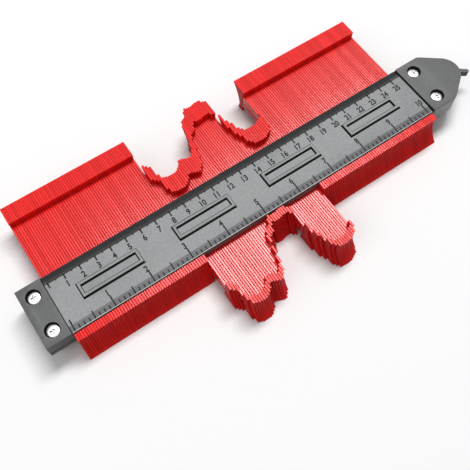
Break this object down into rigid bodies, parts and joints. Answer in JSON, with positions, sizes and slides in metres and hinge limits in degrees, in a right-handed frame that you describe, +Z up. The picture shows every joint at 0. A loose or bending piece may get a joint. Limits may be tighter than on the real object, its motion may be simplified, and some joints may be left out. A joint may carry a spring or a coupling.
{
  "type": "contour gauge",
  "caption": "Wide contour gauge: a dark moulded ruler housing with a pointed nose and lock lever holds a stack of red hooked sliding fins set to a traced profile.",
  "frame": {"origin": "on the flat underside of the bottom cover, below the middle of the ruler scale and on the housing's centre line", "axes": "+X along the ruler towards the pointed nose, +Y across it towards the centimetre edge, +Z up out of the ruler face; the fins slide along Y"},
  "size_m": [0.3206, 0.1398, 0.0217],
  "materials": {
    "housing_plastic": "fine moulded grain, satin dark grey ABS",
    "lever_plastic": "smooth black nylon",
    "fin_plastic": "bright red moulded ABS with a soft shine",
    "steel": "bright zinc-plated steel"
  },
  "bodies": {
    "housing": {"top_cover": "housing_plastic", "bottom_cover": "housing_plastic", "cover_screws": "steel"},
    "lever": {"lock_lever": "lever_plastic"},
    "bar": {"lock_bar": "lever_plastic"},
    "slide_01": {"fins_01": "fin_plastic"},
    "slide_02": {"fins_02": "fin_plastic"},
    "slide_03": {"fins_03": "fin_plastic"},
    "slide_04": {"fins_04": "fin_plastic"},
    "slide_05": {"fins_05": "fin_plastic"},
    "slide_06": {"fins_06": "fin_plastic"},
    "slide_07": {"fins_07": "fin_plastic"},
    "slide_08": {"fins_08": "fin_plastic"},
    "slide_09": {"fins_09": "fin_plastic"},
    "slide_10": {"fins_10": "fin_plastic"},
    "slide_11": {"fins_11": "fin_plastic"},
    "slide_12": {"fins_12": "fin_plastic"},
    "slide_13": {"fins_13": "fin_plastic"},
    "slide_14": {"fins_14": "fin_plastic"},
    "slide_15": {"fins_15": "fin_plastic"},
    "slide_16": {"fins_16": "fin_plastic"},
    "slide_17": {"fins_17": "fin_plastic"},
    "slide_18": {"fins_18": "fin_plastic"},
    "slide_19": {"fins_19": "fin_plastic"},
    "slide_20": {"fins_20": "fin_plastic"},
    "slide_21": {"fins_21": "fin_plastic"},
    "slide_22": {"fins_22": "fin_plastic"},
    "slide_23": {"fins_23": "fin_plastic"},
    "slide_24": {"fins_24": "fin_plastic"},
    "slide_25": {"fins_25": "fin_plastic"},
    "slide_26": {"fins_26": "fin_plastic"},
    "slide_27": {"fins_27": "fin_plastic"},
    "slide_28": {"fins_28": "fin_plastic"},
    "slide_29": {"fins_29": "fin_plastic"},
    "slide_30": {"fins_30": "fin_plastic"},
    "slide_31": {"fins_31": "fin_plastic"},
    "slide_32": {"fins_32": "fin_plastic"},
    "slide_33": {"fins_33": "fin_plastic"}
  },
  "joints": [
    {"name": "lever_swing", "type": "hinge", "parent": "housing", "child": "lever", "pos_m": [0.15599, 0.004, 0.014], "axis": [0, 0, 1], "range_deg": [0, 50]},
    {"name": "bar_slide", "type": "slide", "parent": "housing", "child": "bar", "axis": [1, 0, 0], "range_m": [0, 0.00049]},
    {"name": "fins_01_slide", "type": "slide", "parent": "housing", "child": "slide_01", "axis": [0, 1, 0], "range_m": [-0.041, 0.00005]},
    {"name": "fins_02_slide", "type": "slide", "parent": "housing", "child": "slide_02", "axis": [0, 1, 0], "range_m": [-0.041, 0.00005]},
    {"name": "fins_03_slide", "type": "slide", "parent": "housing", "child": "slide_03", "axis": [0, 1, 0], "range_m": [-0.041, 0.00005]},
    {"name": "fins_04_slide", "type": "slide", "parent": "housing", "child": "slide_04", "axis": [0, 1, 0], "range_m": [-0.041, 0.00005]},
    {"name": "fins_05_slide", "type": "slide", "parent": "housing", "child": "slide_05", "axis": [0, 1, 0], "range_m": [-0.041, 0.00005]},
    {"name": "fins_06_slide", "type": "slide", "parent": "housing", "child": "slide_06", "axis": [0, 1, 0], "range_m": [-0.041, 0.00005]},
    {"name": "fins_07_slide", "type": "slide", "parent": "housing", "child": "slide_07", "axis": [0, 1, 0], "range_m": [-0.041, 0.00005]},
    {"name": "fins_08_slide", "type": "slide", "parent": "housing", "child": "slide_08", "axis": [0, 1, 0], "range_m": [-0.041, 0.00005]},
    {"name": "fins_09_slide", "type": "slide", "parent": "housing", "child": "slide_09", "axis": [0, 1, 0], "range_m": [-0.041, 0.00005]},
    {"name": "fins_10_slide", "type": "slide", "parent": "housing", "child": "slide_10", "axis": [0, 1, 0], "range_m": [-0.00881, 0.02158]},
    {"name": "fins_11_slide", "type": "slide", "parent": "housing", "child": "slide_11", "axis": [0, 1, 0], "range_m": [-0.00422, 0.03558]},
    {"name": "fins_12_slide", "type": "slide", "parent": "housing", "child": "slide_12", "axis": [0, 1, 0], "range_m": [-0.00422, 0.03485]},
    {"name": "fins_13_slide", "type": "slide", "parent": "housing", "child": "slide_13", "axis": [0, 1, 0], "range_m": [-0.00756, 0.03077]},
    {"name": "fins_14_slide", "type": "slide", "parent": "housing", "child": "slide_14", "axis": [0, 1, 0], "range_m": [-0.0084, 0.03077]},
    {"name": "fins_15_slide", "type": "slide", "parent": "housing", "child": "slide_15", "axis": [0, 1, 0], "range_m": [-0.01216, 0.0105]},
    {"name": "fins_16_slide", "type": "slide", "parent": "housing", "child": "slide_16", "axis": [0, 1, 0], "range_m": [-0.03368, 0.00193]},
    {"name": "fins_17_slide", "type": "slide", "parent": "housing", "child": "slide_17", "axis": [0, 1, 0], "range_m": [-0.04016, 0.00005]},
    {"name": "fins_18_slide", "type": "slide", "parent": "housing", "child": "slide_18", "axis": [0, 1, 0], "range_m": [-0.04058, 0.00005]},
    {"name": "fins_19_slide", "type": "slide", "parent": "housing", "child": "slide_19", "axis": [0, 1, 0], "range_m": [-0.01822, 0.00193]},
    {"name": "fins_20_slide", "type": "slide", "parent": "housing", "child": "slide_20", "axis": [0, 1, 0], "range_m": [-0.00589, 0.02597]},
    {"name": "fins_21_slide", "type": "slide", "parent": "housing", "child": "slide_21", "axis": [0, 1, 0], "range_m": [-0.00547, 0.0353]},
    {"name": "fins_22_slide", "type": "slide", "parent": "housing", "child": "slide_22", "axis": [0, 1, 0], "range_m": [-0.00589, 0.03265]},
    {"name": "fins_23_slide", "type": "slide", "parent": "housing", "child": "slide_23", "axis": [0, 1, 0], "range_m": [-0.01132, 0.02973]},
    {"name": "fins_24_slide", "type": "slide", "parent": "housing", "child": "slide_24", "axis": [0, 1, 0], "range_m": [-0.041, 0.00005]},
    {"name": "fins_25_slide", "type": "slide", "parent": "housing", "child": "slide_25", "axis": [0, 1, 0], "range_m": [-0.041, 0.00005]},
    {"name": "fins_26_slide", "type": "slide", "parent": "housing", "child": "slide_26", "axis": [0, 1, 0], "range_m": [-0.041, 0.00005]},
    {"name": "fins_27_slide", "type": "slide", "parent": "housing", "child": "slide_27", "axis": [0, 1, 0], "range_m": [-0.041, 0.00005]},
    {"name": "fins_28_slide", "type": "slide", "parent": "housing", "child": "slide_28", "axis": [0, 1, 0], "range_m": [-0.041, 0.00005]},
    {"name": "fins_29_slide", "type": "slide", "parent": "housing", "child": "slide_29", "axis": [0, 1, 0], "range_m": [-0.041, 0.00005]},
    {"name": "fins_30_slide", "type": "slide", "parent": "housing", "child": "slide_30", "axis": [0, 1, 0], "range_m": [-0.041, 0.00005]},
    {"name": "fins_31_slide", "type": "slide", "parent": "housing", "child": "slide_31", "axis": [0, 1, 0], "range_m": [-0.041, 0.00005]},
    {"name": "fins_32_slide", "type": "slide", "parent": "housing", "child": "slide_32", "axis": [0, 1, 0], "range_m": [-0.041, 0.00005]},
    {"name": "fins_33_slide", "type": "slide", "parent": "housing", "child": "slide_33", "axis": [0, 1, 0], "range_m": [-0.041, 0.00005]}
  ],
  "couplings": [
    {"joint": "lever_swing", "follows": "bar_slide", "rad_per_m": 1745}
  ]
}
